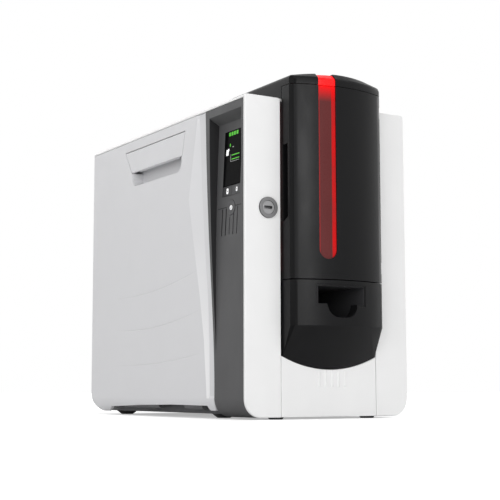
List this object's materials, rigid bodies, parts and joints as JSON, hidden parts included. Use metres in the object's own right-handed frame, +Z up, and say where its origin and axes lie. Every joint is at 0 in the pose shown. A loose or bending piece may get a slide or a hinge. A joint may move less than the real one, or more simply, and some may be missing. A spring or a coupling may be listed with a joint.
{
  "type": "id card printer",
  "caption": "Desktop ID card printer: white case, drop-down side door, control strip, and a black front feeder with red window stripe and card output slot.",
  "frame": {"origin": "under the middle of the machine, on the surface that the feet stand on", "axes": "+X to the right seen from the front, -Y towards the front with the card feeder, +Z up"},
  "size_m": [0.206, 0.4066, 0.3593],
  "materials": {
    "white_shell": "fine moulded texture, satin",
    "door_grey": "fine moulded texture, satin",
    "strip_grey": "satin moulded",
    "module_black": "fine moulded texture, satin",
    "base_dark": "moulded, matt",
    "inner_black": "moulded, matt",
    "panel_grey": "powder coated",
    "steel": "zinc plated sheet",
    "pin_steel": "ground",
    "lock_metal": "satin nickel",
    "rubber": "matt",
    "roller_rubber": "ground matt",
    "cleaner_blue": "tacky, semi-gloss",
    "heater_steel": "polished",
    "window_red": "translucent, glossy",
    "light_red": "lit, translucent",
    "display_glass": "glossy",
    "lcd": "dark display",
    "key_grey": "satin",
    "board_green": "solder mask",
    "gear_white": "acetal",
    "brass": "machined",
    "motor_black": "satin",
    "spool_white": "moulded",
    "spool_blue": "moulded",
    "flip_dark": "moulded",
    "screw_dark": "blackened"
  },
  "bodies": {
    "frame": {"base_pan": "base_dark", "feet": "rubber", "casing": "white_shell", "front_frame": "white_shell", "rear_panel": "panel_grey", "cover_screws": "screw_dark", "door_hinge_pins": "pin_steel", "door_catch": "inner_black", "control_fascia": "strip_grey", "display_glass": "display_glass", "display_panel": "lcd", "control_board": "board_green", "feeder_frame": "inner_black", "door_pivot_pins": "pin_steel", "lid_hinge_pin": "pin_steel", "light_guide": "light_red", "lock_housing": "lock_metal", "output_hopper": "module_black", "card_magazine": "inner_black", "chassis_plate": "steel", "bulkhead": "steel", "roller_frame": "base_dark", "drive_motor": "motor_black", "main_board": "board_green", "power_supply": "steel", "fan_housing": "inner_black", "power_inlet": "inner_black", "switch_housing": "inner_black", "data_ports": "lock_metal"},
    "door": {"side_door": "door_grey", "handle_pin": "pin_steel"},
    "handle": {"door_handle": "door_grey"},
    "left_key": {"menu_key_left": "key_grey"},
    "right_key": {"menu_key_right": "key_grey"},
    "power_key": {"power_button": "strip_grey"},
    "front_door": {"feeder_door": "module_black", "feeder_window": "window_red", "door_keeper": "steel"},
    "top_lid": {"lid": "module_black", "lid_window": "light_red"},
    "lock": {"lock_barrel": "lock_metal", "lock_cam": "steel"},
    "tray": {"reject_tray": "white_shell"},
    "weight": {"card_weight": "panel_grey"},
    "pick": {"pick_roller": "roller_rubber"},
    "front_feed": {"front_roller": "roller_rubber"},
    "rear_feed": {"rear_roller": "roller_rubber"},
    "idler": {"idler_gear": "gear_white"},
    "pinion": {"motor_pinion": "brass"},
    "cleaner": {"cleaning_roller": "cleaner_blue"},
    "heater": {"heat_roller": "heater_steel"},
    "platen": {"platen_roller": "roller_rubber"},
    "head": {"print_head": "panel_grey"},
    "ribbon_out": {"ribbon_supply": "spool_white"},
    "ribbon_in": {"ribbon_takeup": "spool_white"},
    "film_out": {"film_supply": "spool_blue"},
    "film_in": {"film_takeup": "spool_blue"},
    "flipper": {"flip_unit": "flip_dark"},
    "fan": {"fan_rotor": "inner_black"},
    "rocker": {"power_switch": "inner_black"}
  },
  "joints": [
    {"name": "side_door_hinge", "type": "hinge", "parent": "frame", "child": "door", "pos_m": [-0.092, 0.02725, 0.014], "axis": [0, -1, 0], "range_deg": [0, 88]},
    {"name": "door_handle_pivot", "type": "hinge", "parent": "door", "child": "handle", "pos_m": [-0.1015, 0.03225, 0.3151], "axis": [0, 1, 0], "range_deg": [0, 25], "stiffness_Nm_per_rad": 0.02, "springref_deg": -28.65},
    {"name": "left_key_press", "type": "slide", "parent": "frame", "child": "left_key", "axis": [0.9987, 0, -0.0503], "range_m": [0, 0.0006], "stiffness_N_per_m": 800, "springref_m": -0.0003},
    {"name": "right_key_press", "type": "slide", "parent": "frame", "child": "right_key", "axis": [0.9987, 0, -0.0503], "range_m": [0, 0.0006], "stiffness_N_per_m": 800, "springref_m": -0.0003},
    {"name": "power_key_press", "type": "slide", "parent": "frame", "child": "power_key", "axis": [0.9987, 0, -0.0503], "range_m": [0, 0.0008], "stiffness_N_per_m": 800, "springref_m": -0.0003},
    {"name": "feeder_door_hinge", "type": "hinge", "parent": "frame", "child": "front_door", "pos_m": [0.054, -0.17875, 0.242], "axis": [0, 0, 1], "range_deg": [0, 90]},
    {"name": "lid_hinge", "type": "hinge", "parent": "frame", "child": "top_lid", "pos_m": [0, -0.07175, 0.3375], "axis": [-1, 0, 0], "range_deg": [0, 70]},
    {"name": "lock_turn", "type": "hinge", "parent": "frame", "child": "lock", "pos_m": [-0.0755, -0.17275, 0.216], "axis": [0, -1, 0], "range_deg": [0, 90]},
    {"name": "reject_tray_slide", "type": "slide", "parent": "frame", "child": "tray", "axis": [0, -1, 0], "range_m": [0, 0.085]},
    {"name": "card_weight_slide", "type": "slide", "parent": "frame", "child": "weight", "axis": [0, 0, 1], "range_m": [0, 0.14]},
    {"name": "pick_roller_spin", "type": "hinge", "parent": "frame", "child": "pick", "pos_m": [0, -0.13275, 0.1464], "axis": [1, 0, 0], "continuous": true},
    {"name": "idler_spin", "type": "hinge", "parent": "frame", "child": "idler", "pos_m": [0, 0.01725, 0.1456], "axis": [1, 0, 0], "continuous": true},
    {"name": "front_roller_spin", "type": "hinge", "parent": "frame", "child": "front_feed", "pos_m": [0, -0.04275, 0.1456], "axis": [1, 0, 0], "continuous": true},
    {"name": "rear_roller_spin", "type": "hinge", "parent": "frame", "child": "rear_feed", "pos_m": [0, 0.07725, 0.1456], "axis": [1, 0, 0], "continuous": true},
    {"name": "motor_spin", "type": "hinge", "parent": "frame", "child": "pinion", "pos_m": [0, 0.01725, 0.0912], "axis": [1, 0, 0], "continuous": true},
    {"name": "cleaning_roller_spin", "type": "hinge", "parent": "frame", "child": "cleaner", "pos_m": [0, -0.01875, 0.1614], "axis": [1, 0, 0], "continuous": true},
    {"name": "heat_roller_spin", "type": "hinge", "parent": "frame", "child": "heater", "pos_m": [0, 0.01725, 0.1665], "axis": [1, 0, 0], "continuous": true},
    {"name": "platen_spin", "type": "hinge", "parent": "frame", "child": "platen", "pos_m": [0, 0.01725, 0.242], "axis": [1, 0, 0], "continuous": true},
    {"name": "print_head_lift", "type": "hinge", "parent": "frame", "child": "head", "pos_m": [0, 0.03925, 0.287], "axis": [-1, 0, 0], "range_deg": [0, 8]},
    {"name": "ribbon_supply_spin", "type": "hinge", "parent": "frame", "child": "ribbon_out", "pos_m": [0, -0.02275, 0.277], "axis": [1, 0, 0], "continuous": true},
    {"name": "ribbon_takeup_spin", "type": "hinge", "parent": "frame", "child": "ribbon_in", "pos_m": [0, -0.02275, 0.214], "axis": [1, 0, 0], "continuous": true},
    {"name": "film_supply_spin", "type": "hinge", "parent": "frame", "child": "film_out", "pos_m": [0, 0.08925, 0.282], "axis": [1, 0, 0], "continuous": true},
    {"name": "film_takeup_spin", "type": "hinge", "parent": "frame", "child": "film_in", "pos_m": [0, 0.08925, 0.214], "axis": [1, 0, 0], "continuous": true},
    {"name": "card_flip", "type": "hinge", "parent": "frame", "child": "flipper", "pos_m": [0, 0.12925, 0.153], "axis": [1, 0, 0], "continuous": true},
    {"name": "fan_spin", "type": "hinge", "parent": "frame", "child": "fan", "pos_m": [0.015, -0.17275, 0.252], "axis": [0, 1, 0], "continuous": true},
    {"name": "power_rocker", "type": "hinge", "parent": "frame", "child": "rocker", "pos_m": [-0.008, 0.18925, 0.052], "axis": [-1, 0, 0], "range_deg": [0, 16]}
  ],
  "couplings": [
    {"joint": "front_roller_spin", "follows": "idler_spin", "ratio": -4.3571},
    {"joint": "rear_roller_spin", "follows": "idler_spin", "ratio": -4.3571},
    {"joint": "motor_spin", "follows": "idler_spin", "ratio": -8.7143}
  ]
}
